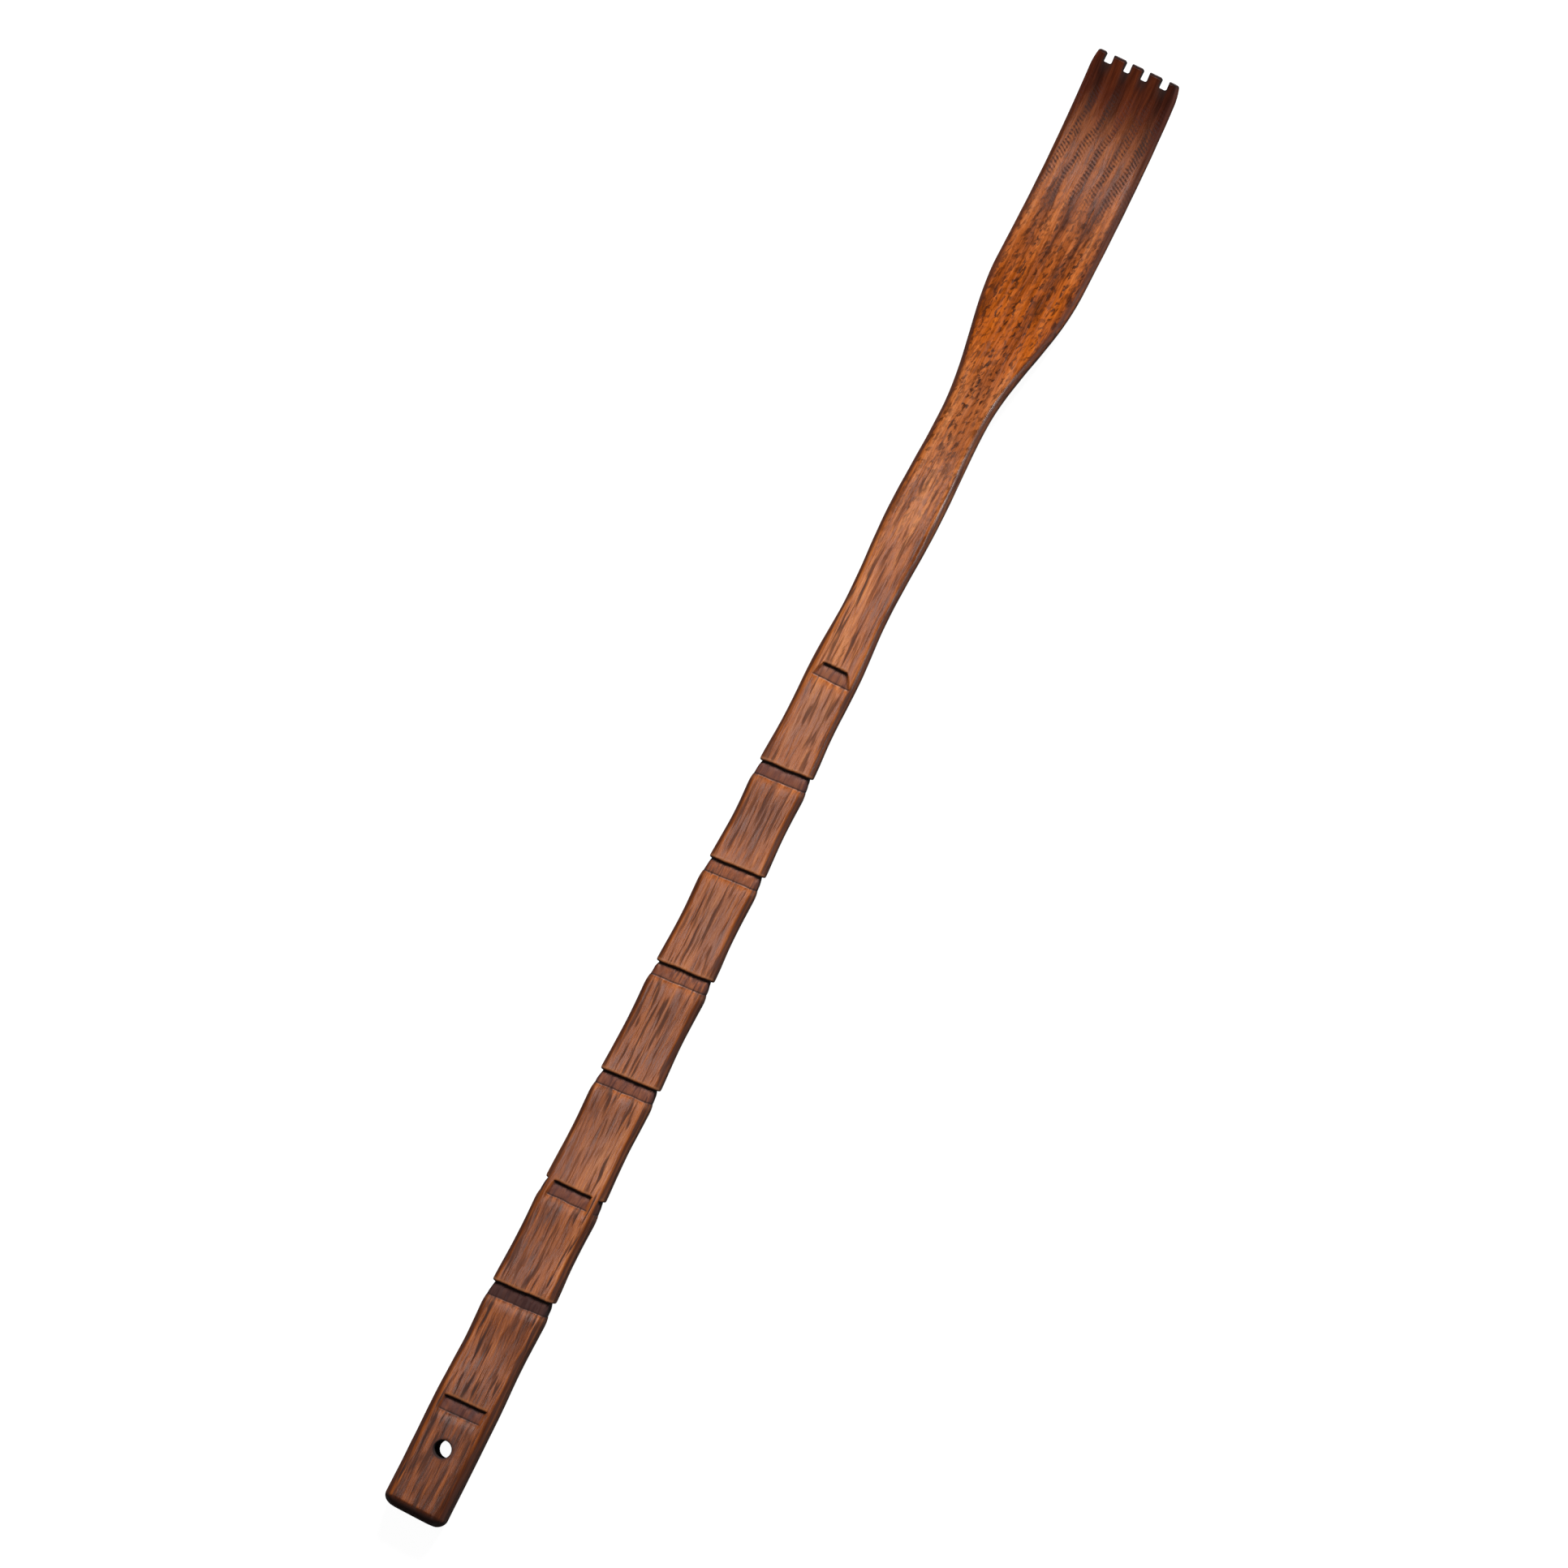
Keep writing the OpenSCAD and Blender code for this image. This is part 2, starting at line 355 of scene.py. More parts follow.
def ringPlaces():
    places = set()
    for notch in notches:
        for u, depth in notchProfile:
            places.add(round(notch["at"] + u, 4))
    for s in np.arange(0.0, tipAt, spacing["plainStep"]):
        if all(abs(s - notch["at"]) > spacing["nodeClear"] for notch in notches):
            places.add(round(float(s), 4))
    for angle in np.linspace(0.0, 90.0, spacing["endRings"]):
        inwards = 1 - math.cos(math.radians(angle))
        places.add(round(stick["buttCornerRadius"] * inwards, 4))
        places.add(round(tipAt - stick["tipCornerRadius"] * inwards, 4))
    for s in np.arange(tipAt - spacing["tipRun"], tipAt, spacing["tipStep"]):
        places.add(round(float(s), 4))
    ordered = [0.0]
    for s in sorted(places):
        if s - ordered[-1] > spacing["leastStep"]:
            ordered.append(s)
    return np.array(ordered)


# each corner of a section: the angle at which it starts, and its side in y and in height
sectionCorners = {
    "leftFront": (0.0, 1, 1),
    "rightFront": (90.0, -1, 1),
    "rightBack": (180.0, -1, -1),
    "leftBack": (270.0, 1, -1),
}


def sectionPoints():
    # points round a section: which flat or corner each belongs to, and its share along it
    layout = []
    for place in ("left", "leftFront", "front", "rightFront", "right", "rightBack", "back", "leftBack"):
        if place in sectionCorners:
            count = spacing["cornerPoints"]
            shares = [k / (count - 1) for k in range(count)]
        else:
            count = spacing["flatPoints"] if place in ("front", "back") else spacing["sidePoints"]
            shares = [(k + 0.5) / count for k in range(count)]
        layout += [(place, share) for share in shares]
    return layout


def sectionShape(halfWidth, halfThick, frontRadius, backRadius, backStretch, layout):
    # y, height and outward direction of every point, one row for each ring
    y = np.zeros((len(halfWidth), len(layout)))
    h = np.zeros_like(y)
    outY = np.zeros_like(y)
    outH = np.zeros_like(y)
    top = halfThick - frontRadius
    low = backRadius - halfThick
    for k, (place, share) in enumerate(layout):
        isBack = place.lower().endswith("back")
        radius = backRadius if isBack else frontRadius
        stretch = backStretch if isBack else corners["stretch"]
        reachY = np.minimum(radius * stretch, corners["widthShare"] * halfWidth)
        if place in sectionCorners:
            start, signY, signH = sectionCorners[place]
            angle = math.radians(start + 90.0 * share)
            y[:, k] = signY * (halfWidth - reachY) + reachY * math.cos(angle)
            h[:, k] = signH * (halfThick - radius) + radius * math.sin(angle)
            length = np.hypot(radius * math.cos(angle), reachY * math.sin(angle))
            outY[:, k] = radius * math.cos(angle) / length
            outH[:, k] = reachY * math.sin(angle) / length
        elif place == "left":
            y[:, k] = halfWidth
            h[:, k] = low + (top - low) * share
            outY[:, k] = 1
        elif place == "right":
            y[:, k] = -halfWidth
            h[:, k] = top + (low - top) * share
            outY[:, k] = -1
        else:
            sign = 1 if place == "front" else -1
            y[:, k] = sign * (halfWidth - reachY) * (1 - 2 * share)
            h[:, k] = sign * halfThick
            outH[:, k] = sign
    return y, h, outY, outH


def plainSizes(s):
    # half widths and half thicknesses with the rounded ends, before anything is cut
    endWidth = roundDrop(s, stick["buttCornerRadius"]) + roundDrop(tipAt - s, stick["tipCornerRadius"])
    endWidth += stick["tipTaper"] * clamp01(1.0 - (tipAt - s) / stick["tipTaperRun"]) ** 2
    endThick = roundDrop(s, stick["buttEdgeRadius"]) + roundDrop(tipAt - s, stick["tipEdgeRadius"])
    waist = waistAt(s)
    return widthAt(s) / 2.0 - waist - endWidth, thickAt(s) / 2.0 - waist - endThick


def unevenOffset(rows, y, outY, outH, halfWidth):
    handle = 1.0 - clamp01((rows - throatAt) / carving["headRun"])
    wander = waves("wander", rows, outY * carving["sideSpread"])
    facets = waves("facets", rows, y + carving["facetSpread"] * outY)
    away = clamp01(np.minimum(rows, tipAt - rows) / carving["endFade"])
    crown = carving["crown"] * clamp01(np.abs(y) / halfWidth[:, None]) ** 2
    headShare = carving["headShare"]
    offset = -carving["wander"] * (0.5 + 0.5 * wander) * away * (headShare + (1.0 - headShare) * handle)
    return offset - carving["facets"] * (0.5 + 0.5 * facets) * away - crown * np.abs(outH)


def notchReach(notch, u, y, outY, outH):
    # how much of a cut reaches each point
    if notch["ends"] is None:
        return np.ones_like(y)
    (lowerLeft, lowerRight), (upperLeft, upperRight) = notch["ends"]
    along = clamp01((u + cutting["half"]) / (2 * cutting["half"]))
    leftEnd = lowerLeft + (upperLeft - lowerLeft) * along
    rightEnd = lowerRight + (upperRight - lowerRight) * along
    faceReach = softStep(leftEnd - y, cutting["endSoft"]) * softStep(y - rightEnd, cutting["endSoft"])
    faceReach = faceReach * np.where(outH ** 2 > cutting["faceFrom"], 1.0, 0.0)
    sideFrom, sideSoft = cutting["sideFrom"]
    sideReach = notch["nick"] * softStep(np.abs(outY) - sideFrom, sideSoft)
    return np.maximum(faceReach, sideReach)


def cutNotches(s, y, h, outY, outH, offset):
    # carves the nodes: the new offset, the lean of the rings, and the stain, ink and wear that are left, with
    # painted shade and a painted shadow in each cut
    stain = np.zeros_like(y)
    ink = np.zeros_like(y)
    wear = np.zeros_like(y)
    shear = np.zeros_like(y)
    profileU, profileDepth = np.array(notchProfile).T
    for index, notch in enumerate(notches):
        u = (s - notch["at"])[:, None]
        shear += math.tan(math.radians(notch["lean"])) * fadeOut(np.abs(u), *cutting["leanFade"]) * y
        # both lips of the cut waver as a knife does
        blend = cutting["lipBlend"]
        upperLip = waves("upperLip", y, h, index) * ease((u + blend) / (2 * blend))
        lowerLip = waves("lowerLip", y, h, index) * ease((blend - u) / (2 * blend))
        shear += cutting["lipWaver"] * (upperLip + lowerLip) * fadeOut(np.abs(u), *cutting["lipFade"])
        depth = np.interp(u, profileU, profileDepth, left=0.0, right=0.0)
        reach = notchReach(notch, u, y, outY, outH)
        floor = 1.0 + cutting["floorWaver"] * waves("cutFloor", u, y + h, index)
        offset = offset - depth * reach * floor
        # dirt in the cut, with painted shade added towards the stop and at the two sides
        (runEnd, runSoft), (stopEnd, stopSoft) = cutting["stainEnds"]
        inCut = softStep(u + runEnd, runSoft) * softStep(stopEnd - u, stopSoft) * reach
        dirtStart, shadeRun, dirtPower = cutting["shadeRun"]
        atStop = clamp01((u + dirtStart) / shadeRun) ** dirtPower
        dirt = cutting["dirt"] + cutting["shadeAtStop"] * atStop + cutting["shadeAtSides"] * np.abs(outY)
        stain = np.maximum(stain, clamp01(notch["stain"] * dirt) * inCut)
        # a painted shadow line under the stop
        ink = np.maximum(ink, bell(u, *cutting["stopShadowLine"]) * reach)
        ink = np.maximum(ink, cutting["runStrength"] * bell(u, *cutting["runLine"]) * reach)
        ink = np.maximum(ink, clamp01(cutting["inkRate"] * (notch["stain"] - 1.0)) * inCut)
        lips = bell(u, *cutting["upperWear"]) + cutting["lowerShare"] * bell(u, *cutting["lowerWear"])
        wear = np.maximum(wear, lips * reach)
    return offset, shear, {"stain": stain, "ink": ink, "wear": wear}


def crackLine(rows, y, outH):
    middle = crack["across"] + crack["sway"] * np.sin(rows * crack["swayRate"])
    line = bell(y, middle, crack["width"]) * np.where(outH > 0.5, 1.0, 0.0)
    line = line * softStep(rows - crack["start"], crack["startSoft"])
    return line * clamp01((crack["end"] - rows) / crack["endRun"])


def paintedEdgeShade(rows, y, outY, outH, halfWidth):
    # painted shade on the sides, the two ends and the corners, on the right more than on the left, over some
    # darker lacquer in the corners
    ends = np.maximum(fadeOut(rows, *shading["buttFade"]), fadeOut(tipAt - rows, *shading["tipFade"]))
    strength = np.where(y > 0, shading["outerLeft"], shading["outerRight"])
    outer = clamp01((np.abs(y) / halfWidth[:, None] - shading["outerFrom"]) / shading["outerRun"]) * strength
    edge = np.maximum(outY ** 2, (1.0 - outY ** 2) * ends * shading["ends"])
    return np.maximum(edge, clamp01(outY ** 2 + outer * np.abs(outH)))


def wallFaces(rings, count):
    faces = []
    for ring in range(rings - 1):
        a = ring * count
        b = a + count
        for k in range(count):
            n = (k + 1) % count
            faces.append((a + k, a + n, b + n, b + k))
    return faces


def closeEnds(points, faces, rings, count):
    # the two ends close with shrinking rings, so that they shade as one soft face
    for ring, backwards in ((0, True), (rings - 1, False)):
        rim = list(range(ring * count, ring * count + count))
        middle = np.mean([points[k] for k in rim], axis=0)
        last = rim
        for share in spacing["capShares"]:
            new = []
            for k in rim:
                new.append(len(points))
                points.append(tuple(middle + (np.array(points[k]) - middle) * share))
            for k in range(count):
                n = (k + 1) % count
                quad = (last[k], last[n], new[n], new[k])
                faces.append(quad[::-1] if backwards else quad)
            last = new
        hub = len(points)
        points.append(tuple(middle))
        for k in range(count):
            n = (k + 1) % count
            face = (last[k], last[n], hub)
            faces.append(face[::-1] if backwards else face)


def addMesh(name, points, faces, unit=mm):
    mesh = bpy.data.meshes.new(name)
    mesh.from_pydata([tuple(c * unit for c in p) for p in points], [], faces)
    mesh.update()
    piece = bpy.data.objects.new(name, mesh)
    scene.collection.objects.link(piece)
    return piece


def readLayer(mesh, name):
    values = np.zeros(len(mesh.vertices))
    mesh.attributes[name].data.foreach_get("value", values)
    return values


def writeLayer(mesh, name, values):
    layer = mesh.attributes.get(name) or mesh.attributes.new(name, "FLOAT", "POINT")
    layer.data.foreach_set("value", values.astype(np.float32))


def readPoints(mesh):
    points = np.zeros(len(mesh.vertices) * 3)
    mesh.vertices.foreach_get("co", points)
    return points.reshape(-1, 3)


def carveStick():
    layout = sectionPoints()
    s = ringPlaces()
    rows = s[:, None]
    halfWidth, halfThick = plainSizes(s)
    frontRadius = np.minimum(frontRadiusAt(s), corners["widthShare"] * np.minimum(halfWidth, halfThick))
    backRadius = np.minimum(backRadiusAt(s), corners["thickShare"] * halfThick - frontRadius)
    y, h, outY, outH = sectionShape(halfWidth, halfThick, frontRadius, backRadius, backStretchAt(s), layout)
    offset = unevenOffset(rows, y, outY, outH, halfWidth)
    offset, shear, marks = cutNotches(s, y, h, outY, outH, offset)
    line = crackLine(rows, y, outH)
    marks["ink"] = np.maximum(marks["ink"], crack["ink"] * line)
    offset = offset - crack["depth"] * line

    y = y + outY * offset
    h = h + outH * offset
    # the ends of the teeth are trimmed square to the handle and not to the curl
    turn = (slopeAt(s) * ease((tipAt - s) / stick["trimRun"]))[:, None]
    x = rows + buttX - shear - h * np.sin(turn)
    z = middleAt(s)[:, None] + h * np.cos(turn)
    # painted shade on the corners, sides and ends, over some darker lacquer in the corners
    marks["edge"] = paintedEdgeShade(rows, y, outY, outH, halfWidth)
    # painted sheen: a cool grey tint over the middle of each segment's face
    fromSides = 1.0 - clamp01(np.abs(y) / halfWidth[:, None]) ** 2
    marks["sheenTintMiddle"] = sheenTintAt(s)[:, None] * fromSides * np.abs(outH)

    rings = len(s)
    count = len(layout)
    points = [tuple(p) for p in np.stack([x, y, z], axis=2).reshape(-1, 3)]
    faces = wallFaces(rings, count)
    closeEnds(points, faces, rings, count)
    piece = addMesh("carvedStick", points, faces)
    for name, values in marks.items():
        full = np.full(len(points), shading["ends"] if name == "edge" else 0.0)
        full[:values.size] = values.ravel()
        writeLayer(piece.data, name, full)
    print("stick lofted:", rings, "rings,", len(points), "points")
    return piece


hangHole = {
    "radius": 2.5,
    "rim": 0.45,            # radius of the two rounded rims
    "rimSteps": 7,
    "inset": 0.06,          # the rims start this far inside the two faces
    "overshoot": 2.0,
    "overFlare": 0.25,
    "segments": 72,
}

# gaps between the five teeth, left to right: middle, width and depth in mm
toothGaps = {
    "gaps": [(8.8, 2.5, 2.8), (2.9, 2.0, 3.0), (-2.5, 2.1, 3.0), (-8.4, 2.4, 2.8)],
    "bottomRadius": 0.55,
    "bottomGrow": 0.5,
    "mouthRadius": 0.2,
    "mouthInset": 0.1,
    "arcPoints": 6,
    "overshoot": (6.0, 1.2),        # how far the saw stands out past the tip, and how much wider it is there
    "faceClear": 0.05,              # the rims are set this far outside the two faces
    "rimLevels": [(-3.0, 0.3), (0.0, 0.3), (0.1, 0.135), (0.3, 0.0)],   # below the face, widened by
}


def loftCutter(name, loops):
    count = len(loops[0])
    faces = wallFaces(len(loops), count)
    faces.append(tuple(range(count))[::-1])
    faces.append(tuple((len(loops) - 1) * count + k for k in range(count)))
    return addMesh(name, [p for loop in loops for p in loop], faces)


def holeCutter():
    # a drill with flared ends, so that the hole's two rims come out rounded
    top = -hangHole["inset"]
    bottom = -stick["buttThick"] + hangHole["inset"]
    rim = hangHole["rim"]
    levels = [(bottom - hangHole["overshoot"], rim + hangHole["overFlare"])]
    for angle in np.linspace(0.0, 90.0, hangHole["rimSteps"]):
        a = math.radians(angle)
        levels.append((bottom + rim * (1 - math.cos(a)), rim * (1 - math.sin(a))))
    mirrored = [(top + bottom - level, flare) for level, flare in levels][::-1]
    loops = []
    for level, flare in levels + mirrored:
        r = hangHole["radius"] + flare
        loop = []
        for k in range(hangHole["segments"]):
            a = 2 * math.pi * k / hangHole["segments"]
            loop.append((r * math.cos(a), r * math.sin(a), level))
        loops.append(loop)
    return loftCutter("holeCutter", loops)


def gapOutline(width, depth, grow):
    # from the mouth's left round the bottom to the mouth's right, seen from the front
    half = width / 2.0 + grow
    bottom = -depth - grow
    corner = toothGaps["bottomRadius"] + grow * toothGaps["bottomGrow"]
    mouth = toothGaps["mouthRadius"]
    past, wider = toothGaps["overshoot"]
    line = [(past, half + mouth + wider)]
    angles = [math.radians(angle) for angle in np.linspace(0.0, 90.0, toothGaps["arcPoints"])]
    for a in angles:
        along = -mouth + mouth * math.cos(a) - toothGaps["mouthInset"]
        line.append((along, half + mouth - mouth * math.sin(a)))
    for a in angles:
        line.append((bottom + corner - corner * math.sin(a), half - corner + corner * math.cos(a)))
    right = [(along, -across) for along, across in line[::-1]]
    return line + right


def gapCutter(index, middle, width, depth):
    # sawn square to the handle, like the ends of the teeth
    tipX = tipAt + buttX
    tipZ = float(middleAt(np.array([tipAt]))[0])
    half = stick["tipThick"] / 2.0 + toothGaps["faceClear"]
    levels = [(level - half, grow) for level, grow in toothGaps["rimLevels"]]
    levels = levels + [(-level, grow) for level, grow in levels[::-1]]
    loops = []
    for level, grow in levels:
        outline = gapOutline(width, depth, grow)
        loops.append([(tipX + along, middle + across, tipZ + level) for along, across in outline])
    return loftCutter("gapCutter%d" % index, loops)


def cutAway(piece, cutters):
    for cutter in cutters:
        cut = piece.modifiers.new(cutter.name, "BOOLEAN")
        cut.operation = "DIFFERENCE"
        cut.solver = "EXACT"
        cut.object = cutter
    graph = bpy.context.evaluated_depsgraph_get()
    done = bpy.data.meshes.new_from_object(piece.evaluated_get(graph))
    piece.modifiers.clear()
    piece.data = done
    for cutter in cutters:
        bpy.data.objects.remove(cutter)
    print("cut:", len(done.vertices), "points after the hole and the tooth gaps")


# dark lacquer on the drilled and sawn walls and the end grain, and painted shade below the gaps; reaches and
# softness in mm
lacquer = {
    "holeInk": 0.85,
    "holeInkEdge": (0.3, 0.5),
    "holeStain": 0.5,
    "holeStainEdge": (0.7, 1.6),
    "gapInk": 0.8,
    "gapSide": (0.1, 0.25),
    "gapBottom": (0.2, 0.35),
    "belowGapShade": 0.6,          # painted shade a little way down the face below each gap
    "belowGapSide": (0.2, 0.9),
    "belowGapLength": 4.0,
    "spotWear": 0.9,        # a rubbed spot below each of the two outer gaps
    "spotBelow": 0.55,
    "spotSize": 0.35,
    "tipGrain": (0.75, 0.6),
    "buttGrain": (2.3, 2.0),
    "buttShare": 0.85,
}


def markCuts(mesh):
    x, y = readPoints(mesh)[:, :2].T / mm
    fromTip = tipAt + buttX - x
    fromButt = x - buttX
    ink = readLayer(mesh, "ink")
    stain = readLayer(mesh, "stain")
    wear = readLayer(mesh, "wear")

    def wall(inside, edge):
        reach, soft = edge
        return softStep(inside + reach, soft)

    inHole = hangHole["radius"] - np.hypot(x, y)
    ink = np.maximum(ink, lacquer["holeInk"] * wall(inHole, lacquer["holeInkEdge"]))
    stain = np.maximum(stain, lacquer["holeStain"] * wall(inHole, lacquer["holeStainEdge"]))
    for middle, width, depth in toothGaps["gaps"]:
        inside = width / 2 - np.abs(y - middle)
        inGap = wall(inside, lacquer["gapSide"]) * wall(depth - fromTip, lacquer["gapBottom"])
        below = clamp01(1.0 - (fromTip - depth) / lacquer["belowGapLength"])
        ink = np.maximum(ink, lacquer["gapInk"] * inGap)
        # painted shade below each gap
        ink = np.maximum(ink, lacquer["belowGapShade"] * wall(inside, lacquer["belowGapSide"]) * below)
    for middle, width, depth in (toothGaps["gaps"][0], toothGaps["gaps"][-1]):
        fromSpot = np.hypot(y - middle, fromTip - depth - lacquer["spotBelow"])
        wear = np.maximum(wear, lacquer["spotWear"] * bell(fromSpot, 0.0, lacquer["spotSize"]))
    endGrain = lacquer["buttShare"] * wall(-fromButt, lacquer["buttGrain"])
    endGrain = np.maximum(endGrain, wall(-fromTip, lacquer["tipGrain"]))
    writeLayer(mesh, "ink", ink)
    writeLayer(mesh, "stain", stain)
    writeLayer(mesh, "wear", wear)
    writeLayer(mesh, "endGrain", endGrain)
    # the middle line's height, so that the grain bends with the head
    writeLayer(mesh, "rise", middleAt(fromButt) * mm)


carvedStick = carveStick()
cutters = [holeCutter()]
for index, (middle, width, depth) in enumerate(toothGaps["gaps"]):
    cutters.append(gapCutter(index, middle, width, depth))
cutAway(carvedStick, cutters)
markCuts(carvedStick.data)
carvedStick.data.shade_smooth()
carvedStick.data.set_sharp_from_angle(angle=math.radians(spacing["sharpAngle"]))

# colours are linear; a share runs along the whole stick from 0 at the butt to 1 at the teeth
wood = {
    "tones": [
        (0.0, (0.022, 0.008, 0.006, 1)),
        (0.28, (0.085, 0.023, 0.009, 1)),
        (0.5, (0.2, 0.05, 0.011, 1)),
        (0.72, (0.34, 0.092, 0.02, 1)),
        (1.0, (0.52, 0.175, 0.05, 1)),
    ],
    "vessel": (0.034, 0.01, 0.006, 1),
    "fleck": (0.028, 0.006, 0.001, 1),
    # dirt in the cuts, with painted shade towards their stops and sides
    "dirt": (0.066, 0.017, 0.014, 1),
    # ink, with the painted shadow under each stop and the painted shade below the gaps
    "ink": (0.004, 0.003, 0.003, 1),
    "worn": (0.46, 0.18, 0.075, 1),
    # painted shade on the corners, sides and ends, over some darker lacquer
    "edge": (0.06, 0.015, 0.007, 1),
    "endGrain": (0.01, 0.002, 0.001, 1),
    "amber": (1.0, 0.76, 0.05, 1),          # the flare is the most orange place
    # painted sheen tint for the middle of each segment
    "sheenTint": (0.68, 0.72, 1.02, 1),
    "tip": [
        (0.4, (0.026, 0.005, 0.003, 1)),
        (0.5, (0.056, 0.008, 0.003, 1)),
        (0.64, (0.13, 0.021, 0.005, 1)),
    ],
    "strengths": {"dirt": 0.9, "ink": 0.95, "worn": 0.5, "endGrain": 0.85},

    "along": [(0.0, 0.38), (0.06, 0.43), (0.11, 0.5), (0.18, 0.56), (0.25, 0.7), (0.33, 0.56), (0.4, 0.62),
              (0.47, 0.54), (0.54, 0.61), (0.62, 0.74), (0.69, 0.77), (0.76, 0.72), (0.82, 0.68),
              (0.88, 0.67), (0.92, 0.61), (0.96, 0.54)],
    "vesselShare": [(0.0, 1.0), (0.22, 0.95), (0.34, 0.75), (0.5, 0.6), (0.58, 0.65), (0.64, 1.0),
                    (0.72, 1.0), (0.77, 0.3), (0.9, 0.2)],
    "streakShare": [(0.0, 1.25), (0.2, 1.2), (0.3, 0.95), (0.55, 0.95), (0.64, 1.4), (0.71, 1.4),
                    (0.76, 0.5), (0.85, 0.6), (0.91, 0.9)],
    "fleckShare": [(0.0, 0.0), (0.64, 0.1), (0.72, 0.7), (0.775, 1.0), (0.88, 0.9), (0.93, 0.35), (1.0, 0.2)],
    "flameShare": [(0.0, 0.0), (0.76, 0.0), (0.84, 1.0), (0.9, 1.0), (0.95, 0.2)],
    "amberShare": [(0.0, 0.0), (0.775, 0.0), (0.81, 1.0), (0.85, 0.9), (0.89, 0.0)],
    "sheenTintShare": [(0.0, 0.15), (0.2, 0.25), (0.28, 1.0)],

    # noises: lengths in mm along, across and through the stick, detail, roughness, distortion
    "wander": ((24, 8, 6), 2.0, 0.5, 0.0),
    "drift": ((70, 9, 7), 2.0, 0.5, 0.0),
    "bands": ((50, 3.2, 2.4), 2.0, 0.5, 0.0),
    "streaks": ((15, 1.2, 0.85), 3.0, 0.6, 0.0),
    "fibres": ((7, 0.42, 0.3), 2.0, 0.6, 0.0),
    "vessels": ((12, 0.9, 0.8), 1.5, 0.45, 0.5),
    "flecks": ((1.8, 0.85, 0.85), 2.5, 0.55, 0.4),
    "sway": ((9, 2.5, 2.0), 2.0, 0.5, 0.0),
    "wanderPush": (0.0, 1.5, 0.5),          # mm by which the grain is pushed aside
    "fleckLean": 0.2,                       # flecks run across the stick a little on their way to the head

    # stripes: the direction that they are square to, mm from one to the next, sway in radians
    "columns": ((0.0, 1.0, 0.35), 3.3, 5.0),        # the flecks stand in columns
    "flames": ((0.08, 1.0, 0.2), 6.6, 5.2),         # dark tongues between the flare and the curl
    "dashes": ((1.0, -0.47, 0.2), 1.1, 9.0),        # oblique dashes on the upper head
    "rungs": ((0.14, 1.0, 0.2), 4.8, 4.4),          # and the columns that they stand in

    # masks: a value from the first number to the second becomes 0 to 1, or the third to the fourth
    "vesselRange": (0.5, 0.67),
    "vesselPatch": (0.42, 0.58, 0.45, 1.0),
    "fleckRange": (0.44, 0.62),
    "fleckColumn": (0.15, 0.75, 0.6, 1.0),
    "fleckBand": (0.62, 0.4, 0.7, 1.0),
    "flameRange": (0.5, 0.95),
    "sheenTintRange": (0.3, 0.65, 0.2, 1.0),
    "dashRange": (0.2, 0.9, 0.12, 1.0),
    "rungRange": (0.25, 0.9),
    "dashFleck": (0.35, 0.6, 0.45, 1.0),
    "edgeRange": (0.06, 0.6, 0.0, 0.9),
    "sideRange": (0.85, 1.0, 1.0, 0.64),
    "sheenStreak": (0.35, 0.65),
    "bumpAtEnds": (0.0, 1.0, 1.0, 0.05),
    "bumpAtEdges": (0.1, 0.6, 1.0, 0.25),
    "edgeRagged": 0.5,
    "sidePower": 2.5,

    # metres from the teeth
    "dashesFrom": (0.052, 0.032),
    "dashesTo": (0.006, 0.016),
    "tipFrom": 0.026,
    "tipFull": 0.01,
    "tipShare": 0.88,
    "tipRagged": 0.012,

    "figure": {"base": -0.8, "bands": 0.75, "streaks": 0.85},
    "tone": {"base": -0.535, "drift": 0.55, "fibres": 0.55, "flames": -0.16},
    "tipTone": {"bands": 0.6, "streaks": 0.4},
    "rough": {"base": 0.12, "fibres": 0.14, "streaks": 0.1, "vessels": 0.5, "dashes": 0.5, "stain": 0.3,
              "ink": 0.6, "sides": 0.5, "endGrain": 0.12},
    "bump": {"streaks": 0.1, "fibres": 0.03, "vessels": -0.02, "flecks": -0.01},
    "specular": 0.4,
}


def addNode(tree, kind, inputs=None, **settings):
    node = tree.nodes.new(kind)
    for key, value in settings.items():
        setattr(node, key, value)
    for key, value in (inputs or {}).items():
        if isinstance(value, bpy.types.NodeSocket):
            tree.links.new(value, node.inputs[key])
        else:
            node.inputs[key].default_value = value
    return node


def calc(tree, operation, a, b):
    return addNode(tree, "ShaderNodeMath", {0: a, 1: b}, operation=operation).outputs[0]


def product(tree, first, *others):
    for other in others:
        first = calc(tree, "MULTIPLY", first, other)
    return first


def weigh(tree, base, *parts):
    # base plus each value times its weight
    for value, weight in parts:
        node = addNode(tree, "ShaderNodeMath", {0: value, 1: weight, 2: base}, operation="MULTIPLY_ADD")
        base = node.outputs[0]
    return base


def vectorCalc(tree, operation, a, b):
    return addNode(tree, "ShaderNodeVectorMath", {0: a, 1: b}, operation=operation)


def attribute(tree, name):
    return addNode(tree, "ShaderNodeAttribute", attribute_name=name).outputs["Fac"]


def grainNoise(tree, coords, lengths, detail, roughness, distortion):
    scale = [1.0 / (length * mm) for length in lengths]
    scaled = addNode(tree, "ShaderNodeMapping", {"Vector": coords, "Scale": scale})
    return addNode(tree, "ShaderNodeTexNoise",
                   {"Vector": scaled.outputs[0], "Scale": 1.0, "Detail": detail,
                    "Roughness": roughness, "Distortion": distortion})


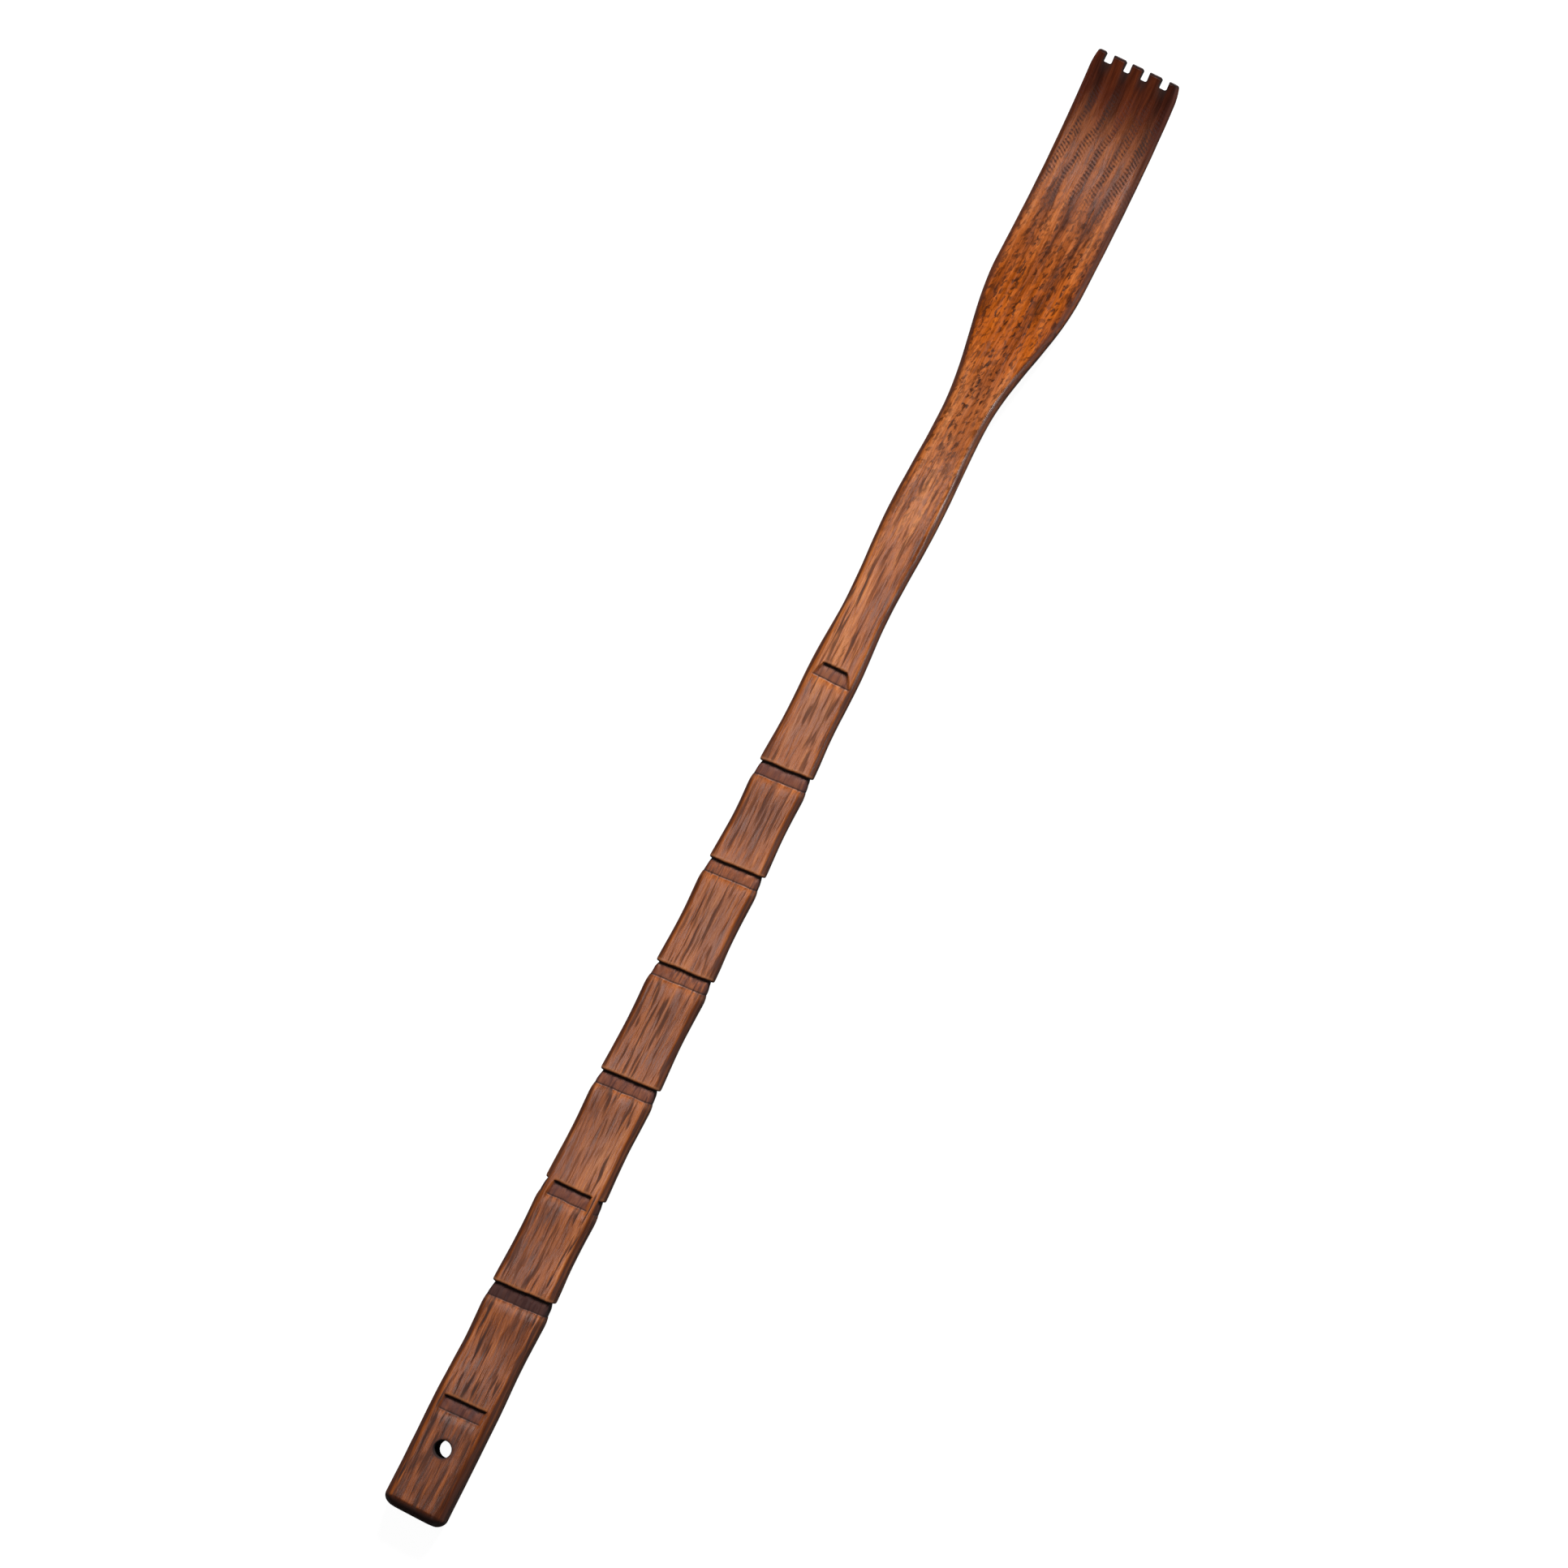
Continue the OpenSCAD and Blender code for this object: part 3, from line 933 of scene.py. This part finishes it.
def stripes(tree, coords, direction, step, sway):
    # soft wavering lines
    along = vectorCalc(tree, "DOT_PRODUCT", coords, direction).outputs["Value"]
    aside = grainNoise(tree, coords, *wood["sway"]).outputs["Fac"]
    phase = weigh(tree, 0.0, (along, 2 * math.pi / (step * mm)), (aside, sway))
    wave = addNode(tree, "ShaderNodeMath", {0: phase}, operation="SINE").outputs[0]
    return weigh(tree, 0.5, (wave, 0.5))


def remap(tree, value, low, high, toLow=0.0, toHigh=1.0):
    node = addNode(tree, "ShaderNodeMapRange",
                   {"Value": value, "From Min": low, "From Max": high, "To Min": toLow, "To Max": toHigh},
                   interpolation_type="SMOOTHSTEP")
    return node.outputs["Result"]


def blendColour(tree, factor, a, b, kind="MIX"):
    node = addNode(tree, "ShaderNodeMix", {0: factor, 6: a, 7: b}, data_type="RGBA", blend_type=kind)
    return node.outputs[2]


def rampOf(tree, value, stops):
    node = addNode(tree, "ShaderNodeValToRGB", {"Fac": value})
    while len(node.color_ramp.elements) < len(stops):
        node.color_ramp.elements.new(0.5)
    for element, (at, colour) in zip(node.color_ramp.elements, stops):
        element.position = at
        element.color = colour if isinstance(colour, tuple) else (colour, colour, colour, 1)
    return node.outputs["Color"]


def makeWood():
    material = bpy.data.materials.new("darkHardwood")
    material.use_nodes = True
    tree = material.node_tree
    shader = tree.nodes["Principled BSDF"]
    coords = addNode(tree, "ShaderNodeTexCoord").outputs["Object"]
    place = addNode(tree, "ShaderNodeSeparateXYZ", {"Vector": coords}).outputs["X"]
    along = addNode(tree, "ShaderNodeMapRange",
                    {"Value": place, "From Min": cadLow.x, "From Max": cadHigh.x}).outputs["Result"]

    def share(name):
        return rampOf(tree, along, wood[name])

    def mask(value, name):
        return remap(tree, value, *wood[name])

    def fromTip(name):
        return remap(tree, place, *[cadHigh.x - back for back in wood[name]])

    # grain bends with the head and wanders a little on its way along the stick
    wander = grainNoise(tree, coords, *wood["wander"]).outputs["Color"]
    centred = vectorCalc(tree, "SUBTRACT", wander, (0.5, 0.5, 0.5)).outputs[0]
    push = [aside * mm for aside in wood["wanderPush"]]
    pushed = vectorCalc(tree, "MULTIPLY", centred, push).outputs[0]
    bent = addNode(tree, "ShaderNodeCombineXYZ", {"Z": attribute(tree, "rise")}).outputs[0]
    level = vectorCalc(tree, "SUBTRACT", coords, bent).outputs[0]
    grain = vectorCalc(tree, "ADD", level, pushed).outputs[0]
    lean = addNode(tree, "ShaderNodeCombineXYZ", {"Y": product(tree, place, wood["fleckLean"])}).outputs[0]
    leaning = vectorCalc(tree, "ADD", grain, lean).outputs[0]

    drift = grainNoise(tree, grain, *wood["drift"]).outputs["Fac"]
    bands = grainNoise(tree, grain, *wood["bands"]).outputs["Fac"]
    streaks = grainNoise(tree, grain, *wood["streaks"]).outputs["Fac"]
    fibres = grainNoise(tree, grain, *wood["fibres"]).outputs["Fac"]
    vessels = grainNoise(tree, grain, *wood["vessels"]).outputs["Fac"]
    flecks = grainNoise(tree, leaning, *wood["flecks"]).outputs["Fac"]
    columns = stripes(tree, grain, *wood["columns"])

    # colour: a dark tab, a paler neck, and streaks of every tone between
    weights = wood["figure"]
    figure = weigh(tree, weights["base"], (bands, weights["bands"]), (streaks, weights["streaks"]))
    figure = product(tree, figure, share("streakShare"))
    flames = mask(stripes(tree, grain, *wood["flames"]), "flameRange")
    flames = product(tree, flames, share("flameShare"))
    weights = wood["tone"]
    tone = weigh(tree, share("along"), (drift, weights["drift"]), (fibres, weights["fibres"]), (figure, 1.0),
                 (flames, weights["flames"]))
    colour = rampOf(tree, calc(tree, "ADD", tone, weights["base"]), wood["tones"])
    colour = blendColour(tree, share("amberShare"), colour, wood["amber"], "MULTIPLY")
    # painted sheen: a cool grey tint over the middle of each segment's face, in patches
    sheenTint = product(tree, attribute(tree, "sheenTintMiddle"), mask(bands, "sheenTintRange"), share("sheenTintShare"))
    colour = blendColour(tree, sheenTint, colour, wood["sheenTint"], "MULTIPLY")
    vesselMask = product(tree, mask(vessels, "vesselRange"), share("vesselShare"), mask(drift, "vesselPatch"))
    colour = blendColour(tree, vesselMask, colour, wood["vessel"])
    fleckMask = product(tree, mask(flecks, "fleckRange"), mask(columns, "fleckColumn"),
                        mask(bands, "fleckBand"), share("fleckShare"))
    colour = blendColour(tree, fleckMask, colour, wood["fleck"])

    # oblique dashes in columns, where the upper head cuts across the wavy grain
    dashes = mask(stripes(tree, grain, *wood["dashes"]), "dashRange")
    rungs = mask(stripes(tree, grain, *wood["rungs"]), "rungRange")
    upperHead = product(tree, fromTip("dashesFrom"), fromTip("dashesTo"))
    dashMask = product(tree, dashes, rungs, mask(flecks, "dashFleck"), upperHead)
    colour = blendColour(tree, dashMask, colour, wood["vessel"])

    # dark corners with painted shade, rubbed lips, the dark red tip, and the dirt, ink and painted shade in
    # the cuts
    # painted shade darkens the corners, sides and ends
    edge = attribute(tree, "edge")
    ragged = wood["edgeRagged"]
    edgeShadeMask = mask(weigh(tree, -ragged / 2, (edge, 1.0), (bands, ragged)), "edgeRange")
    edgeShadeMask = product(tree, edgeShadeMask, mask(edge, "sideRange"))
    colour = blendColour(tree, edgeShadeMask, colour, wood["edge"])
    strengths = wood["strengths"]
    wear = product(tree, attribute(tree, "wear"), strengths["worn"])
    colour = blendColour(tree, wear, colour, wood["worn"])
    ragged = wood["tipRagged"]
    tipMask = remap(tree, weigh(tree, -ragged / 2, (place, 1.0), (bands, ragged)),
                    cadHigh.x - wood["tipFrom"], cadHigh.x - wood["tipFull"], 0.0, wood["tipShare"])
    weights = wood["tipTone"]
    tipTone = weigh(tree, 0.0, (bands, weights["bands"]), (streaks, weights["streaks"]))
    colour = blendColour(tree, tipMask, colour, rampOf(tree, tipTone, wood["tip"]))
    # dirt in the cuts with painted shade towards the stops and sides, then ink with the painted shadow under
    # each stop
    stain = attribute(tree, "stain")
    colour = blendColour(tree, product(tree, stain, strengths["dirt"]), colour, wood["dirt"])
    ink = attribute(tree, "ink")
    colour = blendColour(tree, product(tree, ink, strengths["ink"]), colour, wood["ink"])
    endGrain = attribute(tree, "endGrain")
    colour = blendColour(tree, product(tree, endGrain, strengths["endGrain"]), colour, wood["endGrain"])
    tree.links.new(colour, shader.inputs["Base Color"])

    # satin lacquer that sinks into the open grain
    weights = wood["rough"]
    sides = calc(tree, "POWER", edge, wood["sidePower"])
    rough = weigh(tree, weights["base"], (fibres, weights["fibres"]),
                  (mask(streaks, "sheenStreak"), weights["streaks"]), (vesselMask, weights["vessels"]),
                  (dashMask, weights["dashes"]), (stain, weights["stain"]), (ink, weights["ink"]),
                  (sides, weights["sides"]), (endGrain, weights["endGrain"]))
    tree.links.new(rough, shader.inputs["Roughness"])
    shader.inputs["Specular IOR Level"].default_value = wood["specular"]
    weights = wood["bump"]
    height = weigh(tree, 0.0, (streaks, weights["streaks"]), (fibres, weights["fibres"]),
                   (vesselMask, weights["vessels"]), (fleckMask, weights["flecks"]))
    height = product(tree, height, mask(endGrain, "bumpAtEnds"), mask(edge, "bumpAtEdges"))
    bump = addNode(tree, "ShaderNodeBump", {"Height": height, "Strength": 1.0, "Distance": mm})
    tree.links.new(bump.outputs[0], shader.inputs["Normal"])
    return material


carvedStick.data.materials.clear()
carvedStick.data.materials.append(makeWood())
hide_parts("carved_stick")
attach(carvedStick, "root")
print("wood finished")

photoCamera = {
    "aim": (207.0, -1.0, -4.0),     # mm, where the middle of the picture falls on the stick
    "turn": 26.73,                  # degrees that the stick leans clockwise in the picture
    "tilt": 9.5,                    # degrees that the camera stands over the stick's right side
    "distance": 2200.0,
    "pictureWidth": 434.7,          # mm across the picture at the stick
    "sensor": 36.0,
    "farClip": 30.0,
}


def placeCamera():
    tilt = math.radians(photoCamera["tilt"])
    turn = math.radians(photoCamera["turn"])
    towards = Vector((0, -math.sin(tilt), math.cos(tilt)))
    lengthwise = Vector((1, 0, 0))
    leftwards = towards.cross(lengthwise)
    up = lengthwise * math.cos(turn) + leftwards * math.sin(turn)
    right = up.cross(towards)
    place = Vector(photoCamera["aim"]) * mm + towards * photoCamera["distance"] * mm
    data = bpy.data.cameras.new("photoCamera")
    data.sensor_width = photoCamera["sensor"]
    data.lens = photoCamera["sensor"] * photoCamera["distance"] / photoCamera["pictureWidth"]
    data.clip_end = photoCamera["farClip"]
    camera = bpy.data.objects.new("photoCamera", data)
    camera.matrix_world = Matrix((
        (right.x, up.x, towards.x, place.x),
        (right.y, up.y, towards.y, place.y),
        (right.z, up.z, towards.z, place.z),
        (0, 0, 0, 1)))
    scene.collection.objects.link(camera)
    scene.camera = camera


placeCamera()
print("camera placed")

# lengths in metres
floorLook = {
    "size": 12.0,
    "colour": (0.14, 0.14, 0.14, 1),
    "rough": 0.9,
    "specular": 0.1,
    "lift": 0.96,           # brings the lit floor up to white for the camera
    "glossShare": 0.036,    # how much of that the satin edges mirror
    "restX": -0.0176,       # the butt's back edge, where the stick touches the floor
    "restBand": 0.0008,
    "headFrom": 0.3,        # the other touching place lies past here
    "gap": 0.0001,
}


def seenDirectly(tree, rays):
    return calc(tree, "MAXIMUM", rays["Is Camera Ray"], rays["Is Transmission Ray"])


def layFloor():
    points = readPoints(carvedStick.data)
    restX = floorLook["restX"]
    buttZ = points[np.abs(points[:, 0] - restX) < floorLook["restBand"]][:, 2].min()
    headEnd = points[points[:, 0] > floorLook["headFrom"]]
    slope = ((headEnd[:, 2] - buttZ) / (headEnd[:, 0] - restX)).min()
    half = floorLook["size"] / 2
    floorCorners = []
    for x, y in ((-half, -half), (half, -half), (half, half), (-half, half)):
        floorCorners.append((x, y, buttZ + slope * (x - restX) - floorLook["gap"]))
    floor = addMesh("paleFloor", floorCorners, [(0, 1, 2, 3)], 1.0)
    material = bpy.data.materials.new("paleFloor")
    material.use_nodes = True
    tree = material.node_tree
    shader = tree.nodes["Principled BSDF"]
    shader.inputs["Base Color"].default_value = floorLook["colour"]
    shader.inputs["Roughness"].default_value = floorLook["rough"]
    shader.inputs["Specular IOR Level"].default_value = floorLook["specular"]
    rays = addNode(tree, "ShaderNodeLightPath").outputs
    seen = seenDirectly(tree, rays)
    glossy = product(tree, rays["Is Glossy Ray"], floorLook["glossShare"])
    lift = product(tree, calc(tree, "MAXIMUM", seen, glossy), floorLook["lift"])
    shader.inputs["Emission Color"].default_value = (1, 1, 1, 1)
    tree.links.new(lift, shader.inputs["Emission Strength"])
    floor.data.materials.append(material)


layFloor()
print("floor laid")

# place and aim in metres, size in metres, power in watts, turn in degrees
studio = {
    "room": 0.055,
    "lamps": [
        {"name": "headSideBox", "at": (2.0, 0.0, 1.1), "aim": (0.25, 0.0, 0.0), "size": (0.8, 0.8),
         "colour": (1.0, 1.0, 1.0), "power": 90.0, "turn": 0.0, "glintOnly": False},
        {"name": "overheadBox", "at": (0.2, 0.28, 1.7), "aim": (0.2, 0.28, 0.0), "size": (0.68, 0.42),
         "colour": (0.94, 0.97, 1.0), "power": 3.4, "turn": -26.0, "glintOnly": False},
        {"name": "throatLamp", "at": (0.345, -0.53, 0.28), "aim": (0.33, 0.0, 0.0), "size": (0.11, 0.06),
         "colour": (1.0, 1.0, 1.0), "power": 0.85, "turn": 0.0, "glintOnly": True},
    ],
}


def lightStudio():
    for lamp in studio["lamps"]:
        data = bpy.data.lights.new(lamp["name"], "AREA")
        data.shape = "RECTANGLE"
        data.size, data.size_y = lamp["size"]
        data.color = lamp["colour"]
        data.energy = lamp["power"]
        box = bpy.data.objects.new(lamp["name"], data)
        box.location = lamp["at"]
        box.visible_camera = False
        box.visible_diffuse = not lamp["glintOnly"]
        towards = Vector(lamp["aim"]) - Vector(lamp["at"])
        roll = Quaternion((0, 0, 1), math.radians(lamp["turn"]))
        box.rotation_euler = (towards.to_track_quat("-Z", "Y") @ roll).to_euler()
        scene.collection.objects.link(box)
    world = bpy.data.worlds.new("paleRoom")
    scene.world = world
    world.use_nodes = True
    tree = world.node_tree
    background = tree.nodes["Background"]
    background.inputs["Color"].default_value = (1, 1, 1, 1)
    seen = seenDirectly(tree, addNode(tree, "ShaderNodeLightPath").outputs)
    strength = addNode(tree, "ShaderNodeMapRange", {"Value": seen, "To Min": studio["room"], "To Max": 1.0})
    tree.links.new(strength.outputs["Result"], background.inputs["Strength"])


lightStudio()
print("lights set")
